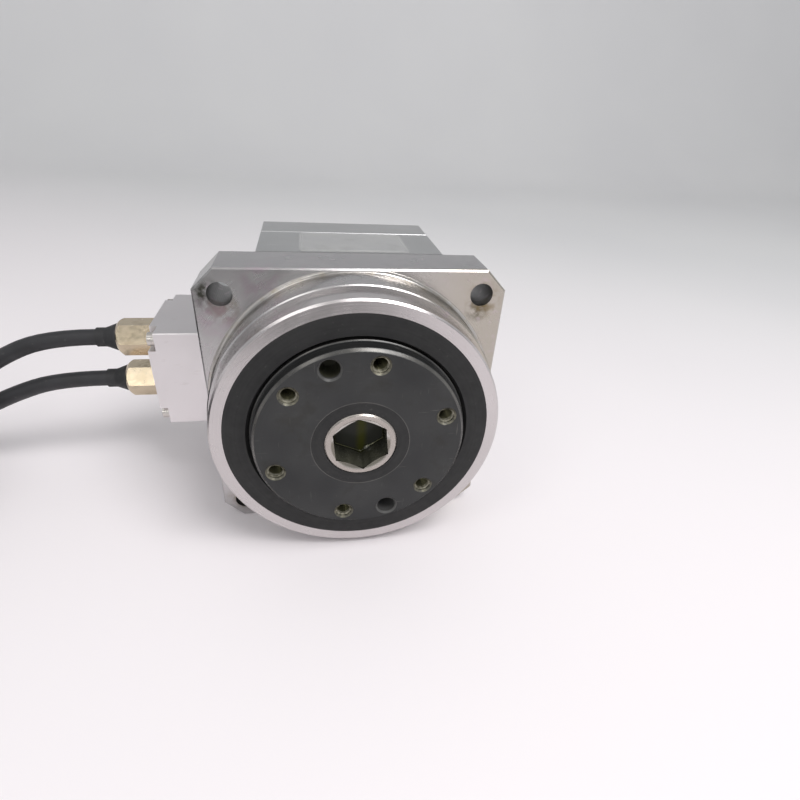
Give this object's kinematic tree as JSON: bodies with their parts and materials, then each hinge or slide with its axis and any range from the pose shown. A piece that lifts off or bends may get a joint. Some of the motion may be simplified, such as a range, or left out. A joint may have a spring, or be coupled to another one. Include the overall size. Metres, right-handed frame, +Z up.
{
  "type": "servo actuator",
  "caption": "Flat servo actuator with a square mounting flange, a crossed roller output flange, a hex input socket and a side box for its two leads.",
  "frame": {"origin": "centre of the square flange's front mounting face, on the output axis", "axes": "+Z up, +X to the right as seen from the front, the output looks along -Y"},
  "size_m": [0.3413, 0.1155, 0.11],
  "materials": {
    "flange_aluminium": "machined, clear",
    "housing_aluminium": "blasted and anodised, satin",
    "box_aluminium": "satin",
    "bearing_steel": "ground",
    "ring_steel": "fine turned",
    "blackened_steel": "black oxide",
    "sleeve_steel": "turned",
    "gear_steel": "ground",
    "screw_steel": "black oxide",
    "box_screw_steel": "zinc plated",
    "laminated_iron": "stacked sheet",
    "magnet": "nickel plated",
    "copper": "lacquered wire",
    "seal_rubber": "matte",
    "boot_rubber": "satin",
    "encoder_glass": "etched",
    "board": "solder mask",
    "reader": "moulded",
    "gland_metal": "nickel plated",
    "cable_jacket": "satin jacket",
    "connector_plastic": "moulded"
  },
  "bodies": {
    "housing": {"mounting_flange": "flange_aluminium", "motor_housing": "housing_aluminium", "rear_cover": "housing_aluminium", "housing_o_ring": "seal_rubber", "rear_o_ring": "seal_rubber", "bearing_outer_ring": "ring_steel", "front_oil_seal": "seal_rubber", "outer_ring_screws": "screw_steel", "flexspline_screws": "screw_steel", "housing_screws": "screw_steel", "flexspline": "gear_steel", "wave_bearing_outer_race": "bearing_steel", "rear_bearing_outer_ring": "bearing_steel", "rear_bearing_balls": "bearing_steel", "stator_core": "laminated_iron", "stator_windings": "copper", "encoder_board": "board", "encoder_reader": "reader", "board_screws": "screw_steel", "cable_box": "box_aluminium", "box_gasket": "seal_rubber", "box_screws": "box_screw_steel", "motor_gland_body": "gland_metal", "motor_gland_nut": "gland_metal", "motor_gland_boot": "boot_rubber", "encoder_gland_body": "gland_metal", "encoder_gland_nut": "gland_metal", "encoder_gland_boot": "boot_rubber", "motor_cable": "cable_jacket", "encoder_cable": "cable_jacket", "motor_cable_coil": "cable_jacket", "encoder_cable_coil": "cable_jacket", "motor_connector": "connector_plastic", "encoder_connector": "connector_plastic"},
    "output": {"output_flange": "blackened_steel", "bearing_inner_ring_front": "blackened_steel", "bearing_inner_ring_rear": "bearing_steel", "center_oil_seal": "seal_rubber", "circular_spline": "gear_steel", "output_screws": "screw_steel", "front_bearing_outer_ring": "bearing_steel", "front_bearing_balls": "bearing_steel"},
    "rollers": {"crossed_rollers": "bearing_steel"},
    "rotor": {"rotor_shaft": "sleeve_steel", "front_bearing_inner_ring": "bearing_steel", "rear_bearing_inner_ring": "bearing_steel", "wave_generator_cam": "gear_steel", "wave_bearing_inner_race": "bearing_steel", "wave_bearing_balls": "bearing_steel", "rotor_core": "laminated_iron", "rotor_magnets": "magnet", "front_spacer": "gear_steel", "middle_spacer": "gear_steel", "rear_spacer": "gear_steel", "encoder_hub": "box_aluminium", "encoder_disc": "encoder_glass"}
  },
  "joints": [
    {"name": "output_spin", "type": "hinge", "parent": "housing", "child": "output", "pos_m": [0, 0, 0], "axis": [0, -1, 0], "continuous": true},
    {"name": "rotor_spin", "type": "hinge", "parent": "housing", "child": "rotor", "pos_m": [0, 0, 0], "axis": [0, -1, 0], "continuous": true, "deforming": ["flexspline", "wave_bearing_outer_race"]},
    {"name": "roller_spin", "type": "hinge", "parent": "housing", "child": "rollers", "pos_m": [0, 0, 0], "axis": [0, -1, 0], "continuous": true}
  ],
  "couplings": [
    {"joint": "rotor_spin", "follows": "output_spin", "ratio": 51},
    {"joint": "roller_spin", "follows": "output_spin", "ratio": 0.4753}
  ]
}
